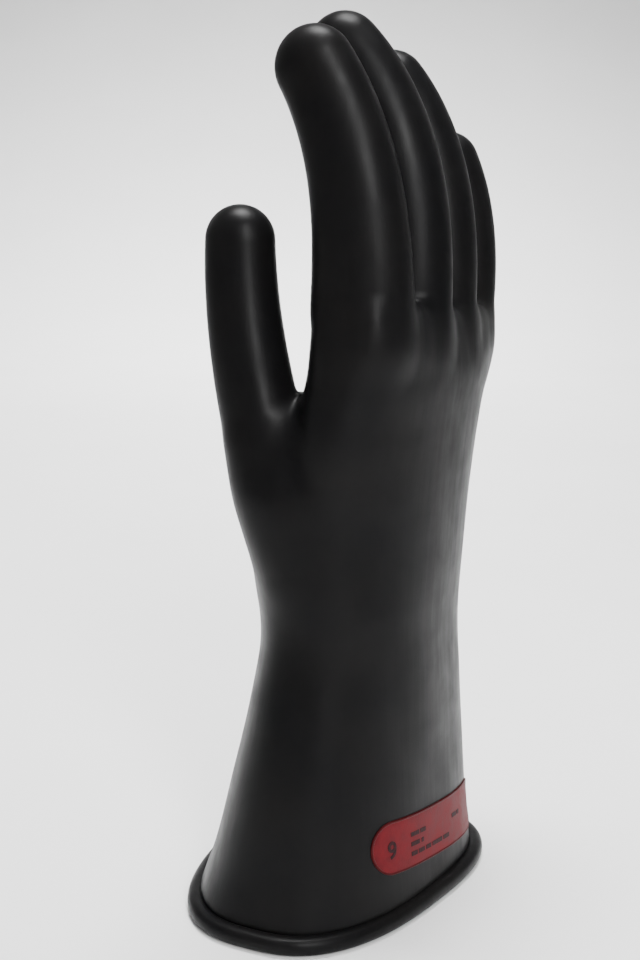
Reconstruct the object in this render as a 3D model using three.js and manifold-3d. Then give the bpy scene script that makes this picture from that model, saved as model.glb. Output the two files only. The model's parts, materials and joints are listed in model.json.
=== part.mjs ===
// A right-hand electrical insulating glove: one thin dipped rubber shell with a rolled rim.
// The shell is divided into the stiffer zones that lie along a hand's bones and the flexing
// bands between them, so that the wrist, the thumb and the fingers can bend.
// Millimetres. +Z runs from the cuff rim to the fingertips, -X is the palm side, +X the back
// of the hand, and -Y the thumb side.
import * as THREE from 'three';
import { mergeVertices } from 'three/addons/utils/BufferGeometryUtils.js';
import Module from 'manifold-3d';

const wasm = await Module();
wasm.setup();

// Driving dimensions
const wall = 1.0;            // rubber thickness of the shell
const gap = 0.3;             // clearance between two zones
const origin = { x: -12.9, y: -8.1 };   // centre of the glove's box, under which the frame sits

// The sleeve and hand: closed oval sections. thick is the half size from palm to back, wide the
// half size from thumb side to little finger, square the exponent of the oval (2 is an ellipse),
// and skew makes the little-finger side thicker.
const sections = [
  { z: 6, x: -12.6, y: -8.4, thick: 37.6, wide: 52.7, square: 2.65, skew: 0.15 },
  { z: 20, x: -10.7, y: -6.6, thick: 34.8, wide: 51.2, square: 2.5, skew: 0.12 },
  { z: 43, x: -8.6, y: -4.5, thick: 31.6, wide: 49.3, square: 2.35, skew: 0.09 },
  { z: 66, x: -6.6, y: -2.6, thick: 28.5, wide: 47.0, square: 2.25, skew: 0.06 },
  { z: 88, x: -5.0, y: -1.3, thick: 26.4, wide: 44.6, square: 2.2, skew: 0.03 },
  { z: 107, x: -3.0, y: -0.4, thick: 25.6, wide: 44.2, square: 2.2, skew: 0 },
  { z: 124, x: -1.4, y: 0, thick: 25.0, wide: 44.7, square: 2.2, skew: 0 },
  { z: 139, x: 1.0, y: 0, thick: 23.6, wide: 46.5, square: 2.2, skew: 0 },
  { z: 154, x: 4.2, y: 0, thick: 21.6, wide: 47.9, square: 2.25, skew: 0 },
  { z: 169, x: 7.8, y: 0, thick: 19.8, wide: 48.4, square: 2.35, skew: 0 },
  { z: 182, x: 9.9, y: 0, thick: 17.8, wide: 48.4, square: 2.5, skew: 0 },
  { z: 191, x: 11.0, y: 0, thick: 14.5, wide: 46.0, square: 2.5, skew: 0 },
];
const wrist = { z: 88, band: 16 };

// The mound at the base of the thumb, on the palm side: round sections from wrist to thumb
const mound = [
  { x: -6.5, y: -19.0, z: 97, radius: 19.5 },
  { x: -9.5, y: -25.0, z: 107, radius: 17.8 },
  { x: -13.0, y: -31.0, z: 124, radius: 15.6 },
  { x: -16.6, y: -35.8, z: 138, radius: 13.4 },
  { x: -19.0, y: -36.0, z: 148, radius: 11.5 },
];

// The digits: tapering oval tubes on a spine that curls towards the palm. root is where the
// spine starts inside the hand, lean tilts it sideways, facing is the heading of the curl, tilt
// the forward angle at the root and curl the angle gained by the tip. thick and wide are the
// half sizes at the root, tip the half thickness at the end, and joints the places along the
// spine where the digit bends.
const digits = {
  index: { root: [11.0, -36.0, 192.4], lean: -3.2, facing: 183, tilt: -1.1, curl: 31.9,
    length: 79.2, thick: 15.4, wide: 11.8, tip: 11.7, joints: [13, 36, 57] },
  middle: { root: [13.1, -11.5, 187.3], lean: 0.1, facing: 180.4, tilt: -3.1, curl: 46.7,
    length: 92.7, thick: 14.6, wide: 11.4, tip: 11.8, joints: [17, 43, 66] },
  ring: { root: [11.9, 12.6, 185.4], lean: 2.7, facing: 180.8, tilt: -2.8, curl: 41.5,
    length: 83.6, thick: 14.0, wide: 11.1, tip: 11.4, joints: [17.5, 40, 60] },
  little: { root: [10.0, 35.9, 178.3], lean: 5.6, facing: 179.2, tilt: -5.3, curl: 29.8,
    length: 64.0, thick: 12.6, wide: 10.3, tip: 10.6, joints: [21, 35, 48.5] },
  thumb: { root: [-16.8, -36.0, 137.0], lean: 0.3, facing: 185, tilt: 15.3, curl: -16.1,
    length: 84.0, thick: 13.0, wide: 11.8, tip: 10.5, joints: [43, 60] },
};
const curlPower = 1.6;       // how late along the spine the curl comes in
const digitBand = 8;         // length of a flexing band on a digit
const stubDepth = 26;        // how far a digit's tube reaches down into the hand
const stubTaper = 0.008;     // how fast it narrows there, per millimetre

// Where the hand's shell is divided: above the heel of the palm, below the thumb's crotch, and
// below the webs between the fingers. The thumb's root lies beyond an upright plane.
const heelTop = 123;
const palmTop = 150;
const webFoot = 184;
const thumbPlane = { x: -8.5, y: -33.5, turn: 25.7 };
const far = 300;

// The rolled rim, the label on the back of the cuff and the size numeral on the label
const bead = { x: -12.9, y: -8.8, thick: 41.2, wide: 57.1, square: 2.75, skew: 0.19, radius: 3.0 };
const label = { y: -4, z: 22.6, length: 70, height: 17.3, slope: -0.11, depth: 0.5 };
const numeral = { y: -31, z: 25.9, bowl: 1.7, stroke: 0.65, depth: 0.3 };

// Fineness of the faceted surfaces
const bodySides = 36;
const digitSides = 16;
const bodyStep = 10;
const digitStep = 8;
const tipSteps = 3;

const radians = THREE.MathUtils.degToRad;
const power = (value, exponent) => Math.sign(value) * Math.abs(value) ** exponent;

// Smooth interpolation between the sections, with no overshoot
function slopesOf(key) {
  const rise = sections.slice(1).map((s, i) => (s[key] - sections[i][key]) / (s.z - sections[i].z));
  return sections.map((s, i) => {
    if (i === 0) return rise[0];
    if (i === sections.length - 1) return rise[i - 1];
    return rise[i - 1] * rise[i] > 0 ? (2 * rise[i - 1] * rise[i]) / (rise[i - 1] + rise[i]) : 0;
  });
}
const shapeKeys = ['x', 'y', 'thick', 'wide', 'square', 'skew'];
const slopes = Object.fromEntries(shapeKeys.map((key) => [key, slopesOf(key)]));

function sectionAt(z) {
  const above = sections.findIndex((s) => s.z > z);
  const upper = above < 0 ? sections.length - 1 : Math.max(1, above);
  const [low, high] = [sections[upper - 1], sections[upper]];
  const span = high.z - low.z;
  const t = THREE.MathUtils.clamp((z - low.z) / span, 0, 1);
  const blend = (key) => low[key] * (2 * t ** 3 - 3 * t ** 2 + 1)
    + high[key] * (3 * t ** 2 - 2 * t ** 3)
    + slopes[key][upper - 1] * span * (t ** 3 - 2 * t ** 2 + t)
    + slopes[key][upper] * span * (t ** 3 - t ** 2);
  return Object.fromEntries(shapeKeys.map((key) => [key, blend(key)]));
}

// One closed oval ring at height z, drawn in by inset
function ovalRing(s, z, inset) {
  return Array.from({ length: bodySides }, (_, i) => {
    const angle = (2 * Math.PI * i) / bodySides;
    const across = (s.wide - inset) * power(Math.sin(angle), 2 / s.square);
    const deep = (s.thick - inset) * power(Math.cos(angle), 2 / s.square);
    return new THREE.Vector3(s.x + deep * (1 + (s.skew * across) / s.wide), s.y + across, z);
  });
}

function bodyRings(low, high, inset) {
  const steps = Math.max(1, Math.round((high - low) / bodyStep));
  return Array.from({ length: steps + 1 }, (_, i) => {
    const z = low + ((high - low) * i) / steps;
    return ovalRing(sectionAt(z), z, inset);
  });
}

// The spine of a digit: a function from the length along it to a point and three directions
function spineOf(digit) {
  const up = new THREE.Vector3(0, Math.sin(radians(digit.lean)), Math.cos(radians(digit.lean)));
  const heading = radians(digit.facing);
  const inward = new THREE.Vector3(Math.cos(heading), Math.sin(heading), 0);
  inward.addScaledVector(up, -inward.dot(up)).normalize();
  const across = up.clone().cross(inward);
  const reach = digit.length - digit.tip;
  const angleAt = (s) => radians(digit.tilt + digit.curl * Math.max(0, s / reach) ** curlPower);
  const mix = (a, b) => up.clone().multiplyScalar(a).addScaledVector(inward, b);
  return (s) => {
    const centre = new THREE.Vector3(...digit.root);
    const parts = 24;
    for (let i = 0; i < parts; i++) {
      const angle = angleAt((s * (i + 0.5)) / parts);
      centre.addScaledVector(mix(Math.cos(angle), Math.sin(angle)), s / parts);
    }
    const angle = angleAt(s);
    const along = mix(Math.cos(angle), Math.sin(angle));
    const toPalm = mix(-Math.sin(angle), Math.cos(angle));
    return { centre, along, toPalm, across };
  };
}

function digitSize(digit, s) {
  const t = s / (digit.length - digit.tip);
  if (t < 0) return { thick: digit.thick * (1 + s * stubTaper), wide: digit.wide * (1 + s * stubTaper) };
  const thin = digit.tip / digit.thick;
  return {
    thick: digit.thick * (1 + (thin - 1) * t),
    wide: digit.wide * (1 + (thin - 1) * t),
  };
}

function digitRing(frame, thick, wide) {
  return Array.from({ length: digitSides }, (_, i) => {
    const angle = (2 * Math.PI * i) / digitSides;
    return frame.centre.clone()
      .addScaledVector(frame.toPalm, thick * Math.cos(angle))
      .addScaledVector(frame.across, wide * Math.sin(angle));
  });
}

function digitRings(digit, low, high, inset) {
  const spine = spineOf(digit);
  const steps = Math.max(1, Math.round((high - low) / digitStep));
  return Array.from({ length: steps + 1 }, (_, i) => {
    const s = low + ((high - low) * i) / steps;
    const { thick, wide } = digitSize(digit, s);
    return digitRing(spine(s), thick - inset, wide - inset);
  });
}

// The rounded end of a digit: rings that shrink to the apex, which is returned with them
function tipRings(digit, inset) {
  const end = spineOf(digit)(digit.length - digit.tip);
  const { thick, wide } = digitSize(digit, digit.length - digit.tip);
  const rings = Array.from({ length: tipSteps }, (_, i) => {
    const angle = (Math.PI / 2) * ((i + 1) / (tipSteps + 1));
    const centre = end.centre.clone().addScaledVector(end.along, (thick - inset) * Math.sin(angle));
    const shrink = Math.cos(angle);
    return digitRing({ ...end, centre }, (thick - inset) * shrink, (wide - inset) * shrink);
  });
  return { rings, apex: end.centre.clone().addScaledVector(end.along, thick - inset) };
}

// A closed skin through a row of rings. It is closed by a point before the first ring and after
// the last, or by joining the last ring to the first.
function skin(rings, first, last) {
  const sides = rings[0].length;
  const corners = rings.flat();
  const faces = [];
  const bands = first ? rings.length - 1 : rings.length;
  for (let i = 0; i < bands; i++) {
    const low = i * sides;
    const high = ((i + 1) % rings.length) * sides;
    for (let j = 0; j < sides; j++) {
      const next = (j + 1) % sides;
      faces.push(low + j, low + next, high + next, low + j, high + next, high + j);
    }
  }
  if (first) {
    corners.push(first, last);
    const top = (rings.length - 1) * sides;
    for (let j = 0; j < sides; j++) {
      const next = (j + 1) % sides;
      faces.push(corners.length - 2, next, j, corners.length - 1, top + j, top + next);
    }
  }
  const geometry = new THREE.BufferGeometry().setFromPoints(corners);
  geometry.setIndex(faces);
  geometry.computeVertexNormals();
  return geometry;
}

const middleOf = (ring) => ring.reduce((sum, p) => sum.add(p), new THREE.Vector3())
  .divideScalar(ring.length);
const filled = (rings) => skin(rings, middleOf(rings[0]), middleOf(rings.at(-1)));
const walled = (outer, inner) => skin([...outer, ...inner.reverse()]);

// Joining and cutting of closed shapes
function toSolid(geometry) {
  const bare = geometry.clone();
  bare.deleteAttribute('normal');
  if (bare.hasAttribute('uv')) bare.deleteAttribute('uv');
  const merged = mergeVertices(bare, 1e-5);
  return new wasm.Manifold(new wasm.Mesh({
    numProp: 3,
    vertProperties: new Float32Array(merged.attributes.position.array),
    triVerts: new Uint32Array(merged.index.array),
  }));
}

function toGeometry(solid) {
  const mesh = solid.getMesh();
  const geometry = new THREE.BufferGeometry();
  geometry.setAttribute('position', new THREE.BufferAttribute(mesh.vertProperties, 3));
  geometry.setIndex(new THREE.BufferAttribute(mesh.triVerts, 1));
  geometry.computeVertexNormals();
  return geometry;
}

// Materials
const rubber = () => new THREE.MeshStandardMaterial({ color: 0x17181a, roughness: 0.42 });
const red = () => new THREE.MeshStandardMaterial({ color: 0xa32b2e, roughness: 0.5 });
const ink = () => new THREE.MeshStandardMaterial({ color: 0x191517, roughness: 0.6 });

const glove = new THREE.Group();
glove.position.set(-origin.x, -origin.y, 0);

function add(name, geometry, material) {
  const mesh = new THREE.Mesh(geometry, material);
  mesh.name = name;
  glove.add(mesh);
}

// The cuff sleeve and the flexing band at the wrist
const beadTop = 2 * bead.radius * Math.cos(Math.PI / 10);
const wristLow = wrist.z - wrist.band / 2;
const wristHigh = wrist.z + wrist.band / 2;
function shellZone(low, high) {
  return walled(bodyRings(low, high, 0), bodyRings(low, high, wall));
}
add('cuff_sleeve', shellZone(beadTop + gap, wristLow - gap / 2), rubber());
add('wrist_flex', shellZone(wristLow + gap / 2, wristHigh - gap / 2), rubber());

// The rolled rim: a ten-sided bead around the mouth, standing on its lowest flat
function beadGeometry() {
  const rings = Array.from({ length: 10 }, (_, i) => {
    const angle = Math.PI / 10 + (2 * Math.PI * i) / 10 - Math.PI / 2;
    const out = bead.radius * (Math.cos(angle) - 1);
    return ovalRing(bead, beadTop / 2 + bead.radius * Math.sin(angle), -out);
  });
  return skin(rings);
}
add('cuff_bead', beadGeometry(), rubber());

// The mound, as a stack of level rings
function moundRings(inset) {
  return mound.map(({ x, y, z, radius }) => Array.from({ length: digitSides }, (_, i) => {
    const angle = (2 * Math.PI * i) / digitSides;
    const reach = radius - inset;
    return new THREE.Vector3(x + reach * Math.cos(angle), y + reach * Math.sin(angle), z);
  }));
}

// The hand: the oval body, the mound and a stub for each digit, hollowed by the same shapes
// drawn in
function handShape(inset) {
  const top = sections.at(-1).z - inset;
  const low = wristHigh + gap / 2 - inset;
  const stubs = Object.values(digits).map((digit) => {
    const end = digit.joints[0] - digitBand / 2 - gap / 2 + inset;
    return toSolid(filled(digitRings(digit, -stubDepth, end, inset)));
  });
  const shapes = [toSolid(filled(moundRings(inset))), ...stubs];
  return shapes.reduce((sum, shape) => sum.add(shape), toSolid(filled(bodyRings(low, top, inset))));
}

// A block to cut zones out of the hand with, from its two opposite corners
function block(low, high) {
  const size = high.map((value, i) => value - low[i]);
  return new THREE.BoxGeometry(...size).translate(...low.map((value, i) => value + size[i] / 2));
}
const across = (low, high) => toSolid(block([-far, -far, low], [far, far, high]));

// The side of the upright plane by the thumb where the thumb is
function thumbSide(shift) {
  const { x, y, turn } = thumbPlane;
  const side = block([-far, -far, palmTop + gap / 2], [shift, far, far]);
  return toSolid(side.rotateZ(radians(turn)).translate(x, y, 0));
}

// The hand's zones: two rings of the palm, the knuckles, and a root for each digit
const hand = handShape(0).subtract(handShape(wall));
const knuckles = across(palmTop + gap / 2, webFoot - gap / 2);
add('palm_heel', toGeometry(hand.intersect(across(0, heelTop - gap / 2))), rubber());
add('palm_shell', toGeometry(hand.intersect(across(heelTop + gap / 2, palmTop - gap / 2))), rubber());
add('knuckle_shell', toGeometry(hand.intersect(knuckles).subtract(thumbSide(gap))), rubber());
add('thumb_root', toGeometry(hand.intersect(thumbSide(0))), rubber());
const fingers = Object.entries(digits).filter(([name]) => name !== 'thumb');
const edges = fingers.slice(1).map(([, digit], i) => {
  const before = fingers[i][1];
  return (before.root[1] + before.wide + digit.root[1] - digit.wide) / 2;
});
fingers.forEach(([name], i) => {
  const low = (edges[i - 1] ?? -far) + gap / 2;
  const high = (edges[i] ?? far) - gap / 2;
  const column = toSolid(block([-far, low, webFoot + gap / 2], [far, high, far]));
  const root = hand.intersect(column).subtract(thumbSide(gap));
  add(`${name}_root`, toGeometry(root), rubber());
});

// Each digit: a flexing band below every bone zone, and the closed tip last
const zoneNames = { finger: ['base', 'middle', 'tip'], thumb: ['base', 'tip'] };
for (const [name, digit] of Object.entries(digits)) {
  const zones = name === 'thumb' ? zoneNames.thumb : zoneNames.finger;
  digit.joints.forEach((joint, i) => {
    const low = joint - digitBand / 2;
    const high = joint + digitBand / 2;
    const next = digit.joints[i + 1] - digitBand / 2;
    const tube = (a, b) => walled(digitRings(digit, a, b, 0), digitRings(digit, a, b, wall));
    add(`${name}_${zones[i]}_flex`, tube(low + gap / 2, high - gap / 2), rubber());
    if (i < digit.joints.length - 1) {
      add(`${name}_${zones[i]}`, tube(high + gap / 2, next - gap / 2), rubber());
      return;
    }
    const end = digit.length - digit.tip;
    const [outer, inner] = [tipRings(digit, 0), tipRings(digit, wall)];
    const outside = [...digitRings(digit, high + gap / 2, end, 0), ...outer.rings];
    const inside = [...digitRings(digit, high + gap / 2, end, wall), ...inner.rings];
    add(`${name}_${zones[i]}`, skin([...inside.reverse(), ...outside], inner.apex, outer.apex), rubber());
  });
}

// The back of the cuff as a height x over y and z, for what is printed on it
function cuffBack(y, z) {
  const s = sectionAt(z);
  const v = (y - s.y) / s.wide;
  return s.x + s.thick * (1 + s.skew * v) * (1 - Math.abs(v) ** s.square) ** (1 / s.square);
}

// The label: a rounded bar, wrapped over the back of the cuff, in columns from end to end
function labelGeometry() {
  const radius = label.height / 2;
  const straight = label.length / 2 - radius;
  const roundSteps = 5;
  const columns = [];
  for (let i = 0; i < roundSteps; i++) columns.push((Math.PI / 2) * (1 - (i + 0.3) / roundSteps));
  const ends = columns.map((a) => [-straight - radius * Math.sin(a), radius * Math.cos(a)]);
  const middle = Array.from({ length: 11 }, (_, i) => [straight * (i / 5 - 1), radius]);
  const outline = [...ends, ...middle, ...ends.map(([u, h]) => [-u, h]).reverse()];
  const rows = 4;
  const point = (u, v, lift) => {
    const y = label.y + u;
    const z = label.z + label.slope * u + v;
    return new THREE.Vector3(cuffBack(y, z) + lift, y, z);
  };
  const rings = outline.map(([u, half]) => {
    const heights = Array.from({ length: rows + 1 }, (_, i) => half * ((2 * i) / rows - 1));
    const back = heights.map((v) => point(u, v, gap + label.depth));
    const front = heights.map((v) => point(u, v, gap));
    return [...back.reverse(), ...front];
  });
  return filled(rings);
}
add('label_patch', labelGeometry(), red());

// The size numeral 9: a round bowl and a curved tail in one flat stroke
function numeralGeometry() {
  const { bowl, stroke } = numeral;
  const outer = bowl + stroke / 2;
  const inner = bowl - stroke / 2;
  const tailRadius = 3.4 * bowl;
  const shape = new THREE.Shape();
  shape.absarc(0, 0, outer, 0, Math.PI * 1.75, false);
  shape.absarc(outer - tailRadius - stroke, 0, tailRadius, -Math.PI * 0.22, -Math.PI * 0.22, false);
  shape.absarc(outer - tailRadius, 0, tailRadius, -Math.PI * 0.2, 0, false);
  const hole = new THREE.Path();
  hole.absarc(0, 0, inner, 0, 2 * Math.PI, true);
  shape.holes.push(hole);
  const geometry = new THREE.ExtrudeGeometry(shape, {
    depth: numeral.depth, bevelEnabled: false, curveSegments: 12,
  });
  const slant = (cuffBack(numeral.y + 1, numeral.z) - cuffBack(numeral.y - 1, numeral.z)) / 2;
  const across = new THREE.Vector3(slant, 1, 0).normalize();
  const up = new THREE.Vector3(0, 0, 1);
  const out = across.clone().cross(up);
  const base = cuffBack(numeral.y, numeral.z) + 2 * gap + label.depth + 0.1;
  geometry.applyMatrix4(new THREE.Matrix4().makeBasis(across, up, out)
    .setPosition(base, numeral.y, numeral.z));
  return geometry;
}
add('size_numeral', numeralGeometry(), ink());

export default glove;
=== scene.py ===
"""A right-hand electrical insulating glove: one smooth dipped rubber skin with a rolled rim.

The skin is one implicit surface, meshed here and cut into pieces between the frame's
joints. Shape sizes are in millimetres in the glove's own axes: +Z from the cuff to the
fingertips, -X the palm, +X the back of the hand, -Y the thumb side. to_frame() turns them into
the frame's metres. The studio's sizes are in metres.
"""
import json
import math

import bmesh
import bpy
import numpy as np
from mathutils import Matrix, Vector

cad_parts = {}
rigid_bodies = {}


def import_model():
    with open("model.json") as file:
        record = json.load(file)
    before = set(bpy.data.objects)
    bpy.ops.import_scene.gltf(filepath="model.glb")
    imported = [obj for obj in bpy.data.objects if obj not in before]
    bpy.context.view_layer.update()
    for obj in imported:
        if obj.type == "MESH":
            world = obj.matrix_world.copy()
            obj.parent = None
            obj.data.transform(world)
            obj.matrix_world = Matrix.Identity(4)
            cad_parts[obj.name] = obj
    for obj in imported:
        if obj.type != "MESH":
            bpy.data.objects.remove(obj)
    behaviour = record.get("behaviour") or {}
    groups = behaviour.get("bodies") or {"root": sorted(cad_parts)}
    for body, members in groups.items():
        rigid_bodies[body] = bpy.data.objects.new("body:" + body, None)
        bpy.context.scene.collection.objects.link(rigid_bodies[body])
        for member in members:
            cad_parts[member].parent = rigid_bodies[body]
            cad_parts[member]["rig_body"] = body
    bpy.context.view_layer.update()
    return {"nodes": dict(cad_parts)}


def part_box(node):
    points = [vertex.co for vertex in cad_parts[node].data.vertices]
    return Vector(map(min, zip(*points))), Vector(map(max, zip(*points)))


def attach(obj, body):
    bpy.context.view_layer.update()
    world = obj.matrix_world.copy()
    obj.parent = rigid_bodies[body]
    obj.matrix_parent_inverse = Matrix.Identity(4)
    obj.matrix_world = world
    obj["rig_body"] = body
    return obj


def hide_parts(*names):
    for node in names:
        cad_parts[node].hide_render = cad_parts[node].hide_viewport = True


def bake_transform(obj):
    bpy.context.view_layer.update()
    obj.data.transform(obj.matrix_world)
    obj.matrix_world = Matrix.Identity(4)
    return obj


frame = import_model()

# ---- driving dimensions, the same as the frame's ----

MM = 0.001
CENTRE = np.array([-12.9, -8.1, 0.0])    # where the frame's origin lies in the glove's axes
WALL = 1.0                               # rubber thickness
WRIST_Z = 88.0
WRIST_REACH = 28.0                       # how far the wrist's bend spreads to each side

# The sleeve and hand: oval sections, each z, x, y, thick, wide, square and skew. thick and wide
# are half sizes, square is the oval's exponent (2 is an ellipse), and skew makes the
# little-finger side thicker.
SECTIONS = np.array([
    (6, -12.6, -8.4, 37.6, 52.7, 2.65, 0.15),
    (20, -10.7, -6.6, 34.8, 51.2, 2.5, 0.12),
    (43, -8.6, -4.5, 31.6, 49.3, 2.35, 0.09),
    (66, -6.6, -2.6, 28.5, 47.0, 2.25, 0.06),
    (88, -5.0, -1.3, 26.4, 44.6, 2.2, 0.03),
    (107, -3.0, -0.4, 25.6, 44.2, 2.2, 0),
    (124, -1.4, 0, 25.0, 44.7, 2.2, 0),
    (139, 1.0, 0, 23.6, 46.5, 2.2, 0),
    (154, 4.2, 0, 21.6, 47.9, 2.25, 0),
    (169, 7.9, 0, 19.6, 48.0, 2.5, 0),
    (183, 11.0, -1.1, 15.5, 46.4, 3.4, -0.09),
    (192, 12.1, -1.3, 12.7, 45.0, 3.6, -0.10),
])
TOP = {"z": 189.9, "slope": -0.095, "round": 6.0}   # the web between the fingers

# The mound at the base of the thumb: round sections, each z, x, y and radius
MOUND = np.array([
    (60, -1.0, -5.0, 17.0),
    (82, -3.2, -12.0, 19.0),
    (97, -6.5, -19.0, 19.3),
    (107, -9.5, -25.0, 17.5),
    (124, -13.0, -30.8, 14.6),
    (138, -16.4, -35.4, 12.0),
    (148, -18.8, -35.8, 10.0),
])

# The digits: tapering oval tubes on spines that curl towards the palm. root is where the spine
# leaves the hand, lean tilts it sideways, facing is the heading of the curl, tilt the forward
# angle at the root and curl the angle gained by the tip. thick and wide are the half sizes at
# the root and tip the half thickness at the end. joints are the places along the spine where
# the digit bends, and spread how far each bend reaches to both sides.
DIGITS = {
    "index": {"root": (11.0, -36.0, 192.4), "lean": -3.2, "facing": 183, "tilt": -1.1,
              "curl": 31.9, "length": 79.2, "thick": 15.4, "wide": 11.8, "tip": 11.7,
              "joints": (13, 36, 57), "spread": (9, 9, 8.5)},
    "middle": {"root": (13.1, -11.5, 187.3), "lean": 0.1, "facing": 180.4, "tilt": -3.1,
               "curl": 46.7, "length": 92.7, "thick": 14.6, "wide": 11.4, "tip": 11.8,
               "joints": (17, 43, 66), "spread": (8.3, 10, 9)},
    "ring": {"root": (11.9, 12.6, 185.4), "lean": 2.7, "facing": 180.8, "tilt": -2.8,
             "curl": 41.5, "length": 83.6, "thick": 14.0, "wide": 11.1, "tip": 11.4,
             "joints": (17.5, 40, 60), "spread": (9, 9, 7.5)},
    "little": {"root": (10.0, 35.9, 178.3), "lean": 5.6, "facing": 179.2, "tilt": -5.3,
               "curl": 29.8, "length": 64.0, "thick": 12.6, "wide": 10.3, "tip": 10.6,
               "joints": (21, 35, 48.5), "spread": (6.5, 4.8, 5)},
    "thumb": {"root": (-16.8, -36.0, 137.0), "lean": 0.3, "facing": 185, "tilt": 15.3,
              "curl": -16.1, "length": 84.0, "thick": 13.0, "wide": 11.8, "tip": 10.5,
              "joints": (43, 60), "spread": (8, 6)},
}
ZONES = {"finger": ("base", "middle", "tip"), "thumb": ("base", "tip")}
CURL_POWER = 1.6                              # how late along the spine the curl comes in
STUB_DEPTH = 26.0                             # how far a digit's foot reaches into the hand
STUB_END = {"finger": 0.5, "thumb": 0.62}     # how thick the foot ends
RING_MARGIN = 1.2                             # from a piece's lowest ring to its bend

# How softly the forms run into each other: tightly at the web, then wider down into the hand
MOUND_BLEND = 12.0
THUMB_BLEND = {"tight": 4.0, "wide": 8.0, "top": 168.0, "bottom": 156.0}
FINGER_BLEND = {"tight": 3.6, "wide": 5.0, "top": 193.0, "bottom": 172.0}

# The rolled rim: an oval ring of a round section, slightly squared by its power
BEAD = {"x": -12.9, "y": -8.8, "thick": 41.2, "wide": 57.1, "square": 2.75, "skew": 0.19,
        "radius": 3.0, "power": 0.92}

# The label on the back of the cuff: a rounded bar with a raised border, rooted in the rubber
LABEL = {"y": -4.0, "z": 22.6, "length": 70.0, "height": 17.3, "slope": -0.11, "lift": 0.35,
         "root": -0.3}
LABEL_BORDER = {"wide": 0.7, "bevel": 0.12}
LABEL_FACE = {"inset": 0.1, "bevel": 0.15, "rings": (0.3, 0.6, 2.0, 4.0, 6.0, 8.0)}

# The print: a 9, drawn in units of about a fifth of its height, and bars in place of words
PRINT = {"rise": 0.1, "flat": 0.92}      # the ink's height, and the flat share of a line
NUMERAL = {"y": -31.0, "z": 24.9, "unit": 5.5 / 4.8, "stroke": 1.0}
NINE_BOWL = {"wide": 1.1, "high": 1.15, "up": 1.0}
NINE_TAIL = ((1.1, 1.0), (1.25, -1.6), (-0.75, -2.0))
BAR_HEIGHT = 1.5
BAR_ROWS = {                             # height on the label: where each bar starts and ends
    2.2: ((-18, -13.5), (-12.7, -9.5)),
    -1.0: ((-18, -13.2), (-12.2, -10.8)),
    -4.2: ((-18, -14.8), (-14, -10.5), (-9.6, -6.5), (-5.6, 1.0), (2.0, 6.0)),
    1.2: ((9.0, 12.5), (13.3, 15.0)),
}

# How finely the surfaces are made
GRID_STEP = np.array([1.4, 0.72, 1.7])   # finest across the hand, where the webs are narrow
GRID_LOW = np.array([-56.0, -68.0, 2.6])
GRID_HIGH = np.array([34.0, 52.0, 278.0])
SPINE_STEPS = 220
NEAREST_ROUNDS = 7                       # steps to a spine's nearest place
RIM_STEPS = 260
RIM_SIDES = 28
OVAL_STEPS = 2000
OUTLINE_STEPS = 50                       # points on each end and each side of the label
CURVE_STEPS = {"bowl": 40, "tail": 16, "bar": 12}

# Limits for the field and the cuts
FAR = 40.0              # the value of a digit's field outside its own box
BOX_MARGIN = 8.0        # how far that box reaches past the digit
SMALL = 1e-3            # keeps the middle of an oval out of the division
FIELD_STEP = 0.05       # how far apart the field is measured for its slope
SETTLE_LIMIT = 0.8      # the longest single move onto the surface
OWNER_REACH = 1.6       # how close to a digit's own surface a face counts as part of it
CUT_REACH = 8.0         # how far from a ring's plane faces may be cut
CUT_MERGE = 1e-4
FOOT_Z = 4.0            # where the skin ends, inside the rolled rim
FOOT_REACH = 6.0        # how far above that faces may be cut
SAME_PLACE = 2e-6       # in metres: closer points of the label are one
NO_LENGTH = 1e-12


def to_frame(points):
    return (np.asarray(points, float) - CENTRE) * MM


# ---- the shape as a field: negative inside, zero on the rubber's outer face ----

def along_table(table, z):
    """Every column of a table at heights z, smoothly and with no overshoot."""
    rise = np.diff(table[:, 1:], axis=0) / np.diff(table[:, :1], axis=0)
    slope = np.vstack([rise[:1], np.zeros_like(rise[1:]), rise[-1:]])
    product = rise[:-1] * rise[1:]
    total = np.where(product > 0, rise[:-1] + rise[1:], 1)
    slope[1:-1] = np.where(product > 0, 2 * product / total, 0)
    upper = np.clip(np.searchsorted(table[:, 0], z, side="right"), 1, len(table) - 1)
    low, high = table[upper - 1], table[upper]
    span = high[..., :1] - low[..., :1]
    t = np.clip((z[..., None] - low[..., :1]) / span, 0, 1)
    values = (low[..., 1:] * (2 * t**3 - 3 * t**2 + 1) + high[..., 1:] * (3 * t**2 - 2 * t**3)
              + slope[upper - 1] * span * (t**3 - 2 * t**2 + t)
              + slope[upper] * span * (t**3 - t**2))
    return np.moveaxis(values, -1, 0)


def soft_min(a, b, reach):
    h = np.maximum(reach - np.abs(a - b), 0) / reach
    return np.minimum(a, b) - h * h * reach / 4


def soft_max(a, b, reach):
    return -soft_min(-a, -b, reach)


def body_field(points):
    x, y, z = points.T
    cx, cy, thick, wide, square, skew = along_table(SECTIONS, z)
    v = (y - cy) / wide
    u = (x - cx) / (thick * (1 + skew * v))
    rho = np.maximum((np.abs(u)**square + np.abs(v)**square)**(1 / square), SMALL)
    side = np.hypot(x - cx, y - cy) * (1 - 1 / rho)
    return soft_max(side, z - TOP["z"] - TOP["slope"] * y, TOP["round"])


def mound_field(points):
    z = np.clip(points[:, 2], MOUND[0, 0], MOUND[-1, 0])
    cx, cy, radius = along_table(MOUND, z)
    return np.sqrt((points[:, 0] - cx)**2 + (points[:, 1] - cy)**2
                   + (points[:, 2] - z)**2) - radius


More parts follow.
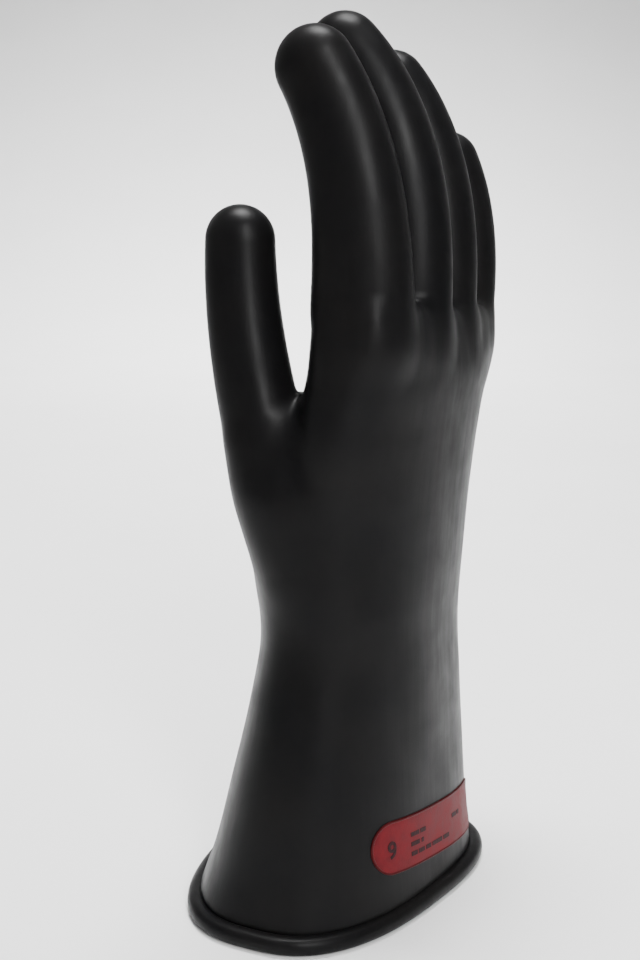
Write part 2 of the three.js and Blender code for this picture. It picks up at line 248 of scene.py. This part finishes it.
class Digit:
    """A tapering oval tube with a rounded end, on a spine that lies in one plane."""

    def __init__(self, sizes):
        vars(self).update(sizes)
        kind = "thumb" if len(self.joints) == 2 else "finger"
        self.zones = ZONES[kind]
        self.foot = STUB_END[kind]
        lean, facing = math.radians(self.lean), math.radians(self.facing)
        self.up = np.array([0, math.sin(lean), math.cos(lean)])
        inward = np.array([math.cos(facing), math.sin(facing), 0])
        inward -= inward @ self.up * self.up
        self.inward = inward / np.linalg.norm(inward)
        self.across = np.cross(self.up, self.inward)
        self.reach = self.length - self.tip
        self.s = np.linspace(-STUB_DEPTH, self.reach, SPINE_STEPS)
        middle = (self.s[1:] + self.s[:-1]) / 2
        run = np.diff(self.s)
        rise = np.concatenate([[0], np.cumsum(np.cos(self.angle(middle)) * run)])
        bow = np.concatenate([[0], np.cumsum(np.sin(self.angle(middle)) * run)])
        self.rise = rise - np.interp(0, self.s, rise)
        self.bow = bow - np.interp(0, self.s, bow)

    def angle(self, s):
        """How far the spine leans inwards at s, in radians."""
        share = np.maximum(s, 0) / self.reach
        return np.radians(self.tilt + self.curl * share**CURL_POWER)

    def size(self, s):
        """Half thickness and half width: an even taper, and a foot that shrinks in the hand."""
        slope = (self.tip / self.thick - 1) / self.reach
        fade = 1 - slope * STUB_DEPTH - self.foot
        taper = 1 + slope * s - fade * (np.minimum(s, 0) / STUB_DEPTH)**2
        return self.thick * taper, self.wide * taper

    def on_spine(self, s):
        return np.interp(s, self.s, self.rise), np.interp(s, self.s, self.bow)

    def point(self, s):
        rise, bow = self.on_spine(s)
        return np.array(self.root) + rise * self.up + bow * self.inward

    def along(self, s):
        angle = float(self.angle(s))
        return math.cos(angle) * self.up + math.sin(angle) * self.inward

    def nearest(self, a, b):
        """The spine's place nearest to points at a along it and b inwards."""
        s = np.clip(a, -STUB_DEPTH, self.reach)
        for _ in range(NEAREST_ROUNDS):
            angle = self.angle(s)
            rise, bow = self.on_spine(s)
            move = (a - rise) * np.cos(angle) + (b - bow) * np.sin(angle)
            s = np.clip(s + move, -STUB_DEPTH, self.reach)
        return s

    def field(self, points):
        p = points - np.array(self.root)
        a, b, c = p @ self.up, p @ self.inward, p @ self.across
        around = self.thick + BOX_MARGIN
        near = ((a > -STUB_DEPTH - self.thick) & (a < self.length + BOX_MARGIN)
                & (np.abs(c) < self.wide + BOX_MARGIN)
                & (b > min(0, self.bow[-1]) - around) & (b < max(0, self.bow[-1]) + around))
        values = np.full(len(points), FAR)
        a, b, c = a[near], b[near], c[near]
        s = self.nearest(a, b)
        angle = self.angle(s)
        rise, bow = self.on_spine(s)
        past = (a - rise) * np.cos(angle) + (b - bow) * np.sin(angle)
        deep = (b - bow) * np.cos(angle) - (a - rise) * np.sin(angle)
        thick, wide = self.size(s)
        rho = np.sqrt((deep / thick)**2 + (c / wide)**2 + (past / thick)**2)
        rho = np.maximum(rho, SMALL)
        values[near] = np.sqrt(deep**2 + c**2 + past**2) * (1 - 1 / rho)
        return values


digits = {name: Digit(sizes) for name, sizes in DIGITS.items()}


def blend_at(z, sizes):
    share = np.clip((sizes["top"] - z) / (sizes["top"] - sizes["bottom"]), 0, 1)
    return sizes["tight"] + (sizes["wide"] - sizes["tight"]) * share * share * (3 - 2 * share)


def glove_field(points):
    z = points[:, 2]
    hand = soft_min(body_field(points), mound_field(points), MOUND_BLEND)
    hand = soft_min(hand, digits["thumb"].field(points), blend_at(z, THUMB_BLEND))
    fingers = [digit.field(points) for name, digit in digits.items() if name != "thumb"]
    return soft_min(hand, np.minimum.reduce(fingers), blend_at(z, FINGER_BLEND))


def unit(vectors):
    return vectors / np.linalg.norm(vectors, axis=1, keepdims=True)


def rise_across(field, points):
    """How much a field grows over two steps along each axis."""
    offsets = FIELD_STEP * np.eye(3)
    return np.stack([field(points + o) - field(points - o) for o in offsets], axis=1)


def gradient(points):
    return rise_across(glove_field, points) / (2 * FIELD_STEP)


def settle(points, rounds):
    """Moves points onto the rubber's outer face."""
    for _ in range(rounds):
        slope = gradient(points)
        move = glove_field(points) / (slope**2).sum(1)
        points = points - slope * np.clip(move, -SETTLE_LIMIT, SETTLE_LIMIT)[:, None]
    return points


# ---- meshing: one point for each grid cell that the surface crosses ----

def surface_net(values):
    """Points in grid units and four-sided faces, turned outwards."""
    inside = values < 0
    cells = np.array(values.shape) - 1
    total = np.zeros((*cells, 3))
    count = np.zeros(cells)
    quads = []
    for axis in range(3):
        b, c = (axis + 1) % 3, (axis + 2) % 3
        low = [slice(None)] * 3
        high = [slice(None)] * 3
        low[axis], high[axis] = slice(None, -1), slice(1, None)
        low, high = tuple(low), tuple(high)
        where = np.argwhere(inside[low] != inside[high])
        first, last = values[low][tuple(where.T)], values[high][tuple(where.T)]
        crossing = where.astype(float)
        crossing[:, axis] += first / (first - last)
        around = []
        for db, dc in ((0, 0), (-1, 0), (-1, -1), (0, -1)):
            cell = where.copy()
            cell[:, b] += db
            cell[:, c] += dc
            around.append(cell)
        whole = np.all([((cell >= 0) & (cell < cells)).all(1) for cell in around], axis=0)
        for cell in around:
            kept = tuple(cell[whole].T)
            np.add.at(total, kept, crossing[whole])
            np.add.at(count, kept, 1)
        flat = [np.ravel_multi_index(tuple(cell[whole].T), cells) for cell in around]
        flat = np.stack(flat, axis=1)
        leaving = (first < 0)[whole]
        quads.append(np.where(leaving[:, None], flat, flat[:, ::-1]))
    quads = np.concatenate(quads)
    used, faces = np.unique(quads, return_inverse=True)
    points = total.reshape(-1, 3)[used] / count.reshape(-1)[used][:, None]
    return points, faces.reshape(quads.shape)


def whole_skin():
    axes = [np.arange(*limits) for limits in zip(GRID_LOW, GRID_HIGH, GRID_STEP)]
    shape = tuple(len(axis) for axis in axes)
    points = np.stack(np.meshgrid(*axes, indexing="ij"), axis=-1).reshape(-1, 3)
    net, faces = surface_net(glove_field(points).reshape(shape))
    return settle(GRID_LOW + net * GRID_STEP, rounds=4), faces


# ---- cutting the skin where two bends meet ----

def ring_places(digit):
    """Along a digit's spine: a ring below its first bend, then one between each two bends."""
    ends = [(j - h, j + h) for j, h in zip(digit.joints, digit.spread)]
    between = [(a[1] + b[0]) / 2 for a, b in zip(ends, ends[1:])]
    return [ends[0][0] - RING_MARGIN, *between]


def nearest_digit(points):
    fields = np.stack([digit.field(points) for digit in digits.values()])
    return np.where(fields.min(0) < OWNER_REACH, fields.argmin(0), -1)


def bisect(mesh, faces, centre, along, **options):
    geometry = {part for f in faces for part in (*f.verts, *f.edges, f)}
    bmesh.ops.bisect_plane(mesh, geom=list(geometry), plane_co=centre, plane_no=along,
                           dist=CUT_MERGE, **options)


def cut_skin(points, faces):
    """The skin with clean rings cut through the digits and a level foot.

    Returns its points, its faces and, for each face, 0 or the number of the digit it is on.
    """
    owner = nearest_digit(points[faces].mean(1))
    mesh = bmesh.new()
    layer = mesh.faces.layers.int.new("digit")
    verts = [mesh.verts.new(p) for p in points]
    for corners, index in zip(faces, owner):
        mesh.faces.new([verts[i] for i in corners])[layer] = int(index) + 1
    for number, digit in enumerate(digits.values(), 1):
        for place in ring_places(digit):
            centre, along = Vector(digit.point(place)), Vector(digit.along(place))
            near = [f for f in mesh.faces if f[layer] == number
                    and abs((f.calc_center_median() - centre).dot(along)) < CUT_REACH]
            bisect(mesh, near, centre, along)
    foot = [f for f in mesh.faces if f.calc_center_median().z < FOOT_Z + FOOT_REACH]
    bisect(mesh, foot, (0, 0, FOOT_Z), (0, 0, 1), clear_inner=True)
    mesh.verts.index_update()
    points = np.array([v.co for v in mesh.verts])
    faces = [[v.index for v in f.verts] for f in mesh.faces]
    owner = np.array([f[layer] for f in mesh.faces])
    mesh.free()
    return points, faces, owner


def piece_of_faces(points, faces, owner):
    """0 for the hand, or a number for each digit zone, in the order of the digits."""
    centres = np.array([points[f].mean(0) for f in faces])
    piece = np.zeros(len(faces), int)
    first = 1
    for number, digit in enumerate(digits.values(), 1):
        beyond = np.zeros(len(faces), int)
        for place in ring_places(digit):
            beyond += (centres - digit.point(place)) @ digit.along(place) > 0
        piece = np.where((owner == number) & (beyond > 0), first + beyond - 1, piece)
        first += len(digit.zones)
    return piece


# ---- meshes and pieces ----

def shade_smooth(mesh):
    mesh.polygons.foreach_set("use_smooth", [True] * len(mesh.polygons))


def add_object(name, mesh):
    piece = bpy.data.objects.new(name, mesh)
    bpy.context.scene.collection.objects.link(piece)
    return piece


def dress(piece, material):
    piece.data.materials.append(material)


def walled_mesh(name, points, normals, faces):
    """A closed mesh of some of the skin's faces: outer face, inner face and the rims between."""
    used = sorted({i for f in faces for i in f})
    local = {i: n for n, i in enumerate(used)}
    outer = [[local[i] for i in f] for f in faces]
    size = len(used)
    normal = normals[used]
    edges = {(f[i - 1], f[i]) for f in outer for i in range(len(f))}
    open_edges = [(a, b) for a, b in edges if (b, a) not in edges]
    rims = [[b, a, a + size, b + size] for a, b in open_edges]
    inner = [[i + size for i in reversed(f)] for f in outer]
    shell = to_frame(np.vstack([points[used], points[used] - WALL * normal]))
    mesh = bpy.data.meshes.new(name)
    mesh.from_pydata(shell.tolist(), [], outer + inner + rims)
    shade_smooth(mesh)
    corners = [normal[i] for f in outer for i in f]
    corners += [-normal[i - size] for f in inner for i in f]
    for rim in rims:
        a, b, c = (shell[i] for i in rim[:3])
        flat = np.cross(b - a, c - b)
        corners += [flat / max(np.linalg.norm(flat), NO_LENGTH)] * 4
    mesh.normals_split_custom_set(np.array(corners).tolist())
    return add_object(name, mesh)


def make_skin(material):
    """The skin: one piece for the cuff and hand, and one for each digit zone."""
    points, faces, owner = cut_skin(*whole_skin())
    points = settle(points, rounds=2)
    normals = unit(gradient(points))
    piece = piece_of_faces(points, faces, owner)
    groups = {number: [] for number in range(piece.max() + 1)}
    for face, number in zip(faces, piece):
        groups[number].append(face)

    hand = walled_mesh("hand_skin", points, normals, groups[0])
    middle = np.array([0, 0, WRIST_Z])
    spread = np.array([0, 0, WRIST_REACH])
    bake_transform(hand)
    zones = [name for name, node in frame["nodes"].items()
             if node["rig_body"] == "hand" and not name.endswith("_flex")]
    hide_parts("cuff_sleeve", "wrist_flex", *zones)
    dress(hand, material)

    number = 1
    for name, digit in digits.items():
        for i, zone in enumerate(digit.zones):
            skin = walled_mesh(f"{name}_{zone}_skin", points, normals, groups[number])
            joint, spread = digit.joints[i], digit.spread[i]
            middle, along = digit.point(joint), digit.along(joint)
            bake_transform(skin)
            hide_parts(f"{name}_{zone}_flex", f"{name}_{zone}")
            dress(skin, material)
            number += 1


# ---- the rolled rim ----

def signed_power(value, exponent):
    return np.sign(value) * np.abs(value)**exponent


def oval(sizes, angle, inset):
    """A point on an oval ring, in x and y."""
    power = 2 / sizes["square"]
    across = (sizes["wide"] - inset) * signed_power(math.sin(angle), power)
    deep = (sizes["thick"] - inset) * signed_power(math.cos(angle), power)
    return sizes["x"] + deep * (1 + sizes["skew"] * across / sizes["wide"]), sizes["y"] + across


def even_ring(sizes, inset, count):
    """Evenly spaced points round an oval ring, with the outward direction at each."""
    turn = 2 * math.pi / OVAL_STEPS
    fine = np.array([oval(sizes, turn * i, inset) for i in range(OVAL_STEPS + 1)])
    run = np.concatenate([[0], np.cumsum(np.linalg.norm(np.diff(fine, axis=0), axis=1))])
    places = np.linspace(0, run[-1], count, endpoint=False)
    points = np.stack([np.interp(places, run, fine[:, k]) for k in (0, 1)], axis=1)
    tangent = np.roll(points, -1, axis=0) - np.roll(points, 1, axis=0)
    outward = unit(np.stack([tangent[:, 1], -tangent[:, 0]], axis=1))
    return points, outward


def ring_mesh(name, rings):
    """A closed ring of closed sections."""
    count, sides = rings.shape[:2]
    index = np.arange(count * sides).reshape(count, sides)
    onward, around = np.roll(index, -1, axis=0), np.roll(index, -1, axis=1)
    both = np.roll(onward, -1, axis=1)
    faces = np.stack([index, onward, both, around], axis=-1).reshape(-1, 4)
    mesh = bpy.data.meshes.new(name)
    mesh.from_pydata(to_frame(rings.reshape(-1, 3)).tolist(), [], faces.tolist())
    shade_smooth(mesh)
    return add_object(name, mesh)


def make_rim(material):
    """The rolled rim, which the glove stands on."""
    radius, power = BEAD["radius"], BEAD["power"]
    half_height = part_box("cuff_bead")[1].z / MM / 2
    centres, outward = even_ring(BEAD, radius, RIM_STEPS)
    angles = np.linspace(0, 2 * math.pi, RIM_SIDES, endpoint=False)
    out = radius * signed_power(np.cos(angles), power)
    rise = half_height * (1 + signed_power(np.sin(angles), power))
    flat = centres[:, None, :] + outward[:, None, :] * out[None, :, None]
    heights = np.broadcast_to(rise[None, :, None], (*flat.shape[:2], 1))
    rim = ring_mesh("cuff_rim", np.concatenate([flat, heights], axis=2))
    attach(rim, "cuff")
    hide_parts("cuff_bead")
    dress(rim, material)


# ---- the label on the back of the cuff and its print ----

def on_cuff(u, v, lift):
    """A point of the label's flat drawing, u along it and v up, laid on the back of the cuff."""
    y = LABEL["y"] + u
    z = LABEL["z"] + LABEL["slope"] * u + v
    cx, cy, thick, wide, square, skew = along_table(SECTIONS, z)
    side = (y - cy) / wide
    x = cx + thick * (1 + skew * side) * (1 - np.abs(side)**square)**(1 / square)
    points = np.stack([x, y, z], axis=-1)
    return points + unit(rise_across(body_field, points)) * lift


def stadium(inset):
    """The label's outline drawn in by inset, as u and v."""
    radius = LABEL["height"] / 2
    straight = LABEL["length"] / 2 - radius
    turn = np.linspace(-math.pi / 2, math.pi / 2, OUTLINE_STEPS)
    run = np.linspace(-straight, straight, OUTLINE_STEPS + 2)[1:-1]
    r = radius - inset
    level = np.full(len(run), r)
    u = np.concatenate([straight + r * np.cos(turn), -run, -straight - r * np.cos(turn), run])
    v = np.concatenate([r * np.sin(turn), level, -r * np.sin(turn), -level])
    return u, v


def outline_rows(steps):
    """The label's outline at each inset and lift."""
    return np.array([on_cuff(*stadium(inset), lift) for inset, lift in steps])


def layered_patch(name, rows):
    """Stacked outlines joined into a surface, whose last outline closes on itself."""
    count, sides = rows.shape[:2]
    mesh = bmesh.new()
    verts = [[mesh.verts.new(p) for p in to_frame(row)] for row in rows]
    for i in range(count - 1):
        for j in range(sides):
            k = (j + 1) % sides
            mesh.faces.new([verts[i][j], verts[i][k], verts[i + 1][k], verts[i + 1][j]])
    bmesh.ops.remove_doubles(mesh, verts=mesh.verts, dist=SAME_PLACE)
    bmesh.ops.recalc_face_normals(mesh, faces=mesh.faces)
    data = bpy.data.meshes.new(name)
    mesh.to_mesh(data)
    mesh.free()
    shade_smooth(data)
    return add_object(name, data)


def stroke(u, v, width):
    """A raised line of ink: a closed strip along the points u, v, as points and faces."""
    low, high = LABEL["lift"] - PRINT["rise"], LABEL["lift"] + PRINT["rise"]
    flat = PRINT["flat"]
    path = np.stack([u, v], axis=1)
    ahead = np.gradient(path, axis=0)
    side = unit(np.stack([-ahead[:, 1], ahead[:, 0]], axis=1)) * width / 2
    rows = []
    for offset, lift in ((-1, low), (-flat, high), (flat, high), (1, low)):
        edge = path + offset * side
        rows.append(on_cuff(edge[:, 0], edge[:, 1], lift))
    points = np.array(rows).transpose(1, 0, 2).reshape(-1, 3)
    faces = [[4 * i + j, 4 * i + 4 + j, 4 * i + 4 + (j + 1) % 4, 4 * i + (j + 1) % 4]
             for i in range(len(path) - 1) for j in range(4)]
    last = 4 * (len(path) - 1)
    return points, faces + [[3, 2, 1, 0], [last, last + 1, last + 2, last + 3]]


def strokes_object(name, strokes):
    """Several strokes as one object."""
    points, faces = [], []
    for stroke_points, stroke_faces in strokes:
        faces += [[len(points) + i for i in f] for f in stroke_faces]
        points += to_frame(stroke_points).tolist()
    data = bpy.data.meshes.new(name)
    data.from_pydata(points, [], faces)
    mesh = bmesh.new()
    mesh.from_mesh(data)
    bmesh.ops.recalc_face_normals(mesh, faces=mesh.faces)
    mesh.to_mesh(data)
    mesh.free()
    return add_object(name, data)


def numeral_strokes():
    size = NUMERAL["unit"]
    u = NUMERAL["y"] - LABEL["y"]
    v = NUMERAL["z"] - LABEL["z"] - LABEL["slope"] * u
    turn = np.linspace(0, 2 * math.pi, CURVE_STEPS["bowl"])
    bowl_u = NINE_BOWL["wide"] * np.cos(turn)
    bowl_v = NINE_BOWL["up"] + NINE_BOWL["high"] * np.sin(turn)
    t = np.linspace(0, 1, CURVE_STEPS["tail"])
    start, bend, end = np.array(NINE_TAIL)[:, :, None]
    tail_u, tail_v = (1 - t)**2 * start + 2 * t * (1 - t) * bend + t**2 * end
    return [stroke(u + line_u * size, v + line_v * size, NUMERAL["stroke"] * size)
            for line_u, line_v in ((bowl_u, bowl_v), (tail_u, tail_v))]


def bar_strokes():
    count = CURVE_STEPS["bar"]
    return [stroke(np.linspace(start, end, count), np.full(count, float(v)), BAR_HEIGHT)
            for v, bars in BAR_ROWS.items() for start, end in bars]


def make_label(red, dark_red, ink):
    lift, root = LABEL["lift"], LABEL["root"]
    inset, bevel = LABEL_FACE["inset"], LABEL_FACE["bevel"]
    rings = (*LABEL_FACE["rings"], LABEL["height"] / 2)
    face = layered_patch("label_face", outline_rows([
        (inset, root), (inset, lift - bevel), *((ring, lift) for ring in rings)]))
    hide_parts("label_patch")
    dress(face, red)

    wide, bevel = LABEL_BORDER["wide"], LABEL_BORDER["bevel"]
    border_rows = outline_rows([
        (0, root), (0, lift), (bevel, lift + bevel), (wide - bevel, lift + bevel),
        (wide, lift), (wide, root)])
    border = ring_mesh("label_border", border_rows.transpose(1, 0, 2)[:, ::-1])
    dress(border, dark_red)

    numeral = strokes_object("size_nine", numeral_strokes())
    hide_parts("size_numeral")
    dress(numeral, ink)
    marks = strokes_object("label_bars", bar_strokes())
    dress(marks, ink)
    for piece in (face, border, numeral, marks):
        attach(piece, "cuff")


# ---- materials ----

RUBBER = {"dark": (0.0028, 0.0028, 0.0032), "light": (0.0048, 0.0045, 0.0045)}
LABEL_RED = {"dark": (0.080, 0.004, 0.007), "light": (0.125, 0.0075, 0.011)}
LABEL_EDGE = {"dark": (0.042, 0.0025, 0.0035), "light": (0.055, 0.003, 0.0045)}
INK = {"dark": (0.012, 0.005, 0.006), "light": (0.035, 0.006, 0.008)}
PALE_FLOOR = {"dark": (0.84, 0.84, 0.84), "light": (0.87, 0.87, 0.87)}


def new_material(name, specular):
    material = bpy.data.materials.new(name)
    material.use_nodes = True
    tree = material.node_tree
    shader = tree.nodes["Principled BSDF"]
    shader.inputs["Specular IOR Level"].default_value = specular
    return material, tree, shader


def add_node(tree, kind, **inputs):
    node = tree.nodes.new(kind)
    for key, value in inputs.items():
        node.inputs[key.replace("_", " ")].default_value = value
    return node


def noise(tree, scale, detail, stretch=(1, 1, 1), roughness=0.5):
    """Noise over the object's own metres, stretched along each axis."""
    where = tree.nodes.new("ShaderNodeTexCoord")
    mapping = add_node(tree, "ShaderNodeMapping", Scale=stretch)
    node = add_node(tree, "ShaderNodeTexNoise", Scale=scale, Detail=detail, Roughness=roughness)
    tree.links.new(where.outputs["Object"], mapping.inputs["Vector"])
    tree.links.new(mapping.outputs["Vector"], node.inputs["Vector"])
    return node.outputs["Fac"]


def spread_over(tree, source, low, high, start=0.3, end=0.7):
    """Turns source's run from start to end into one from low to high."""
    node = add_node(tree, "ShaderNodeMapRange",
                    From_Min=start, From_Max=end, To_Min=low, To_Max=high)
    tree.links.new(source, node.inputs["Value"])
    return node.outputs["Result"]


def shade_between(tree, source, one, other):
    node = tree.nodes.new("ShaderNodeMix")
    node.data_type = "RGBA"
    node.inputs["A"].default_value = (*one, 1)
    node.inputs["B"].default_value = (*other, 1)
    tree.links.new(source, node.inputs["Factor"])
    return node.outputs["Result"]


def bump(tree, height, strength, distance, under=None):
    node = add_node(tree, "ShaderNodeBump", Strength=strength, Distance=distance)
    tree.links.new(height, node.inputs["Height"])
    if under is not None:
        tree.links.new(under, node.inputs["Normal"])
    return node.outputs["Normal"]


def rubber_material():
    """Satin black dipped rubber: cloudy bloom, fine flow lines from the dipping, tiny grain."""
    material, tree, shader = new_material("dipped_rubber", specular=0.085)
    cloud = spread_over(tree, noise(tree, scale=38.0, detail=4.0), 0.0, 1.0)
    colour = shade_between(tree, cloud, RUBBER["dark"], RUBBER["light"])
    tree.links.new(colour, shader.inputs["Base Color"])

    flow = noise(tree, scale=60.0, detail=4.0, stretch=(6, 6, 0.35))
    patches = noise(tree, scale=120.0, detail=5.0)
    roughness = tree.nodes.new("ShaderNodeMath")
    roughness.operation = "ADD"
    tree.links.new(spread_over(tree, flow, -0.035, 0.035), roughness.inputs[0])
    tree.links.new(spread_over(tree, patches, 0.34, 0.44), roughness.inputs[1])
    tree.links.new(roughness.outputs[0], shader.inputs["Roughness"])

    lines = bump(tree, flow, strength=0.08, distance=0.0005)
    waves = bump(tree, noise(tree, scale=25.0, detail=2.0), strength=0.12, distance=0.004,
                 under=lines)
    grain = bump(tree, noise(tree, scale=2600.0, detail=2.0), strength=0.10, distance=0.0002,
                 under=waves)
    tree.links.new(grain, shader.inputs["Normal"])
    return material


def label_material(name, colours):
    """Red fused label: uneven ink with worn, paler places."""
    material, tree, shader = new_material(name, specular=0.08)
    patches = noise(tree, scale=180.0, detail=6.0, roughness=0.65)
    wear = spread_over(tree, patches, 0.0, 1.0, start=0.35, end=0.72)
    colour = shade_between(tree, wear, colours["dark"], colours["light"])
    tree.links.new(colour, shader.inputs["Base Color"])
    roughness = spread_over(tree, wear, 0.42, 0.58, start=0, end=1)
    tree.links.new(roughness, shader.inputs["Roughness"])
    fine = bump(tree, noise(tree, scale=1500.0, detail=3.0), strength=0.2, distance=0.0002)
    tree.links.new(fine, shader.inputs["Normal"])
    return material


def ink_material():
    """Dark print, a little worn."""
    material, tree, shader = new_material("label_ink", specular=0.1)
    shader.inputs["Roughness"].default_value = 0.6
    patches = noise(tree, scale=900.0, detail=4.0)
    worn = spread_over(tree, patches, 0.0, 1.0, start=0.4, end=0.75)
    colour = shade_between(tree, worn, INK["dark"], INK["light"])
    tree.links.new(colour, shader.inputs["Base Color"])
    fine = bump(tree, noise(tree, scale=2000.0, detail=2.0), strength=0.2, distance=0.0001)
    tree.links.new(fine, shader.inputs["Normal"])
    return material


def floor_material():
    material, tree, shader = new_material("pale_floor", specular=0.1)
    shader.inputs["Roughness"].default_value = 0.9
    shade = spread_over(tree, noise(tree, scale=6.0, detail=3.0), 0.0, 1.0)
    colour = shade_between(tree, shade, PALE_FLOOR["dark"], PALE_FLOOR["light"])
    tree.links.new(colour, shader.inputs["Base Color"])
    return material


# ---- the studio, in metres ----

CAMERA = {"azimuth": 26.97, "elevation": 12.19, "distance": 0.4926, "lens": 57.42, "sensor": 36}
TARGET = Vector(to_frame((-20.81, -0.05, 131.35)))
FLOOR = {"flat": 1.2, "sweep": 0.8, "top": 2.4, "sides": 64, "steps": 12}
LIGHTS = {
    "overhead": {"place": (-0.12, 0.22, 1.6), "target": (-0.12, 0.22, 0.0),
                 "size": (0.7, 0.7), "power": 8.5, "spread": 56},
    "back_floor": {"place": (-0.5, 0.8, 2.0), "target": (-0.62, 1.15, 0.0),
                   "size": (0.4, 0.4), "power": 14, "spread": 54},
    "finger_strip": {"place": (0.40, -0.45, 0.48), "target": (0.0, 0.0, 0.22),
                     "size": (0.12, 0.58), "power": 6.8, "spread": 180},
}
SKY_STRENGTH = 0.26


def direction(azimuth, elevation):
    """From the object towards a place round it: azimuth 0 is -Y and 90 is +X."""
    a, e = math.radians(azimuth), math.radians(elevation)
    return Vector((math.sin(a) * math.cos(e), -math.cos(a) * math.cos(e), math.sin(e)))


def aim(thing, place, target):
    thing.location = place
    thing.rotation_mode = "QUATERNION"
    thing.rotation_quaternion = (place - target).to_track_quat("Z", "Y")
    bpy.context.scene.collection.objects.link(thing)


def make_camera():
    data = bpy.data.cameras.new("camera")
    data.lens = CAMERA["lens"]
    data.sensor_width = CAMERA["sensor"]
    camera = bpy.data.objects.new("camera", data)
    back = direction(CAMERA["azimuth"], CAMERA["elevation"])
    aim(camera, TARGET + back * CAMERA["distance"], TARGET)
    bpy.context.scene.camera = camera


def make_floor():
    """A pale floor that curves up into a wall all round."""
    flat, sweep, sides = FLOOR["flat"], FLOOR["sweep"], FLOOR["sides"]
    profile = [(flat / 2, 0.0), (flat, 0.0)]
    for i in range(1, FLOOR["steps"] + 1):
        a = math.pi / 2 * i / FLOOR["steps"]
        profile.append((flat + sweep * math.sin(a), sweep * (1 - math.cos(a))))
    profile.append((flat + sweep, FLOOR["top"]))
    turn = [2 * math.pi * i / sides for i in range(sides)]
    mesh = bmesh.new()
    rings = [[mesh.verts.new((radius * math.cos(a), radius * math.sin(a), height)) for a in turn]
             for radius, height in profile]
    mesh.faces.new(rings[0])
    for low, high in zip(rings, rings[1:]):
        for i in range(sides):
            j = (i + 1) % sides
            mesh.faces.new([low[i], low[j], high[j], high[i]])
    bmesh.ops.recalc_face_normals(mesh, faces=mesh.faces)
    data = bpy.data.meshes.new("studio_floor")
    mesh.to_mesh(data)
    mesh.free()
    shade_smooth(data)
    floor = add_object("studio_floor", data)
    floor.data.materials.append(floor_material())


def make_lights():
    for name, sizes in LIGHTS.items():
        data = bpy.data.lights.new(name, "AREA")
        data.shape = "RECTANGLE"
        data.size, data.size_y = sizes["size"]
        data.energy = sizes["power"]
        data.spread = math.radians(sizes["spread"])
        light = bpy.data.objects.new(name, data)
        aim(light, Vector(sizes["place"]), Vector(sizes["target"]))
    world = bpy.data.worlds.new("studio")
    world.use_nodes = True
    sky = world.node_tree.nodes["Background"]
    sky.inputs["Color"].default_value = (1, 1, 1, 1)
    sky.inputs["Strength"].default_value = SKY_STRENGTH
    bpy.context.scene.world = world


make_camera()
make_floor()
make_lights()
rubber = rubber_material()
make_skin(rubber)
make_rim(rubber)
make_label(label_material("label_red", LABEL_RED), label_material("label_edge", LABEL_EDGE),
           ink_material())
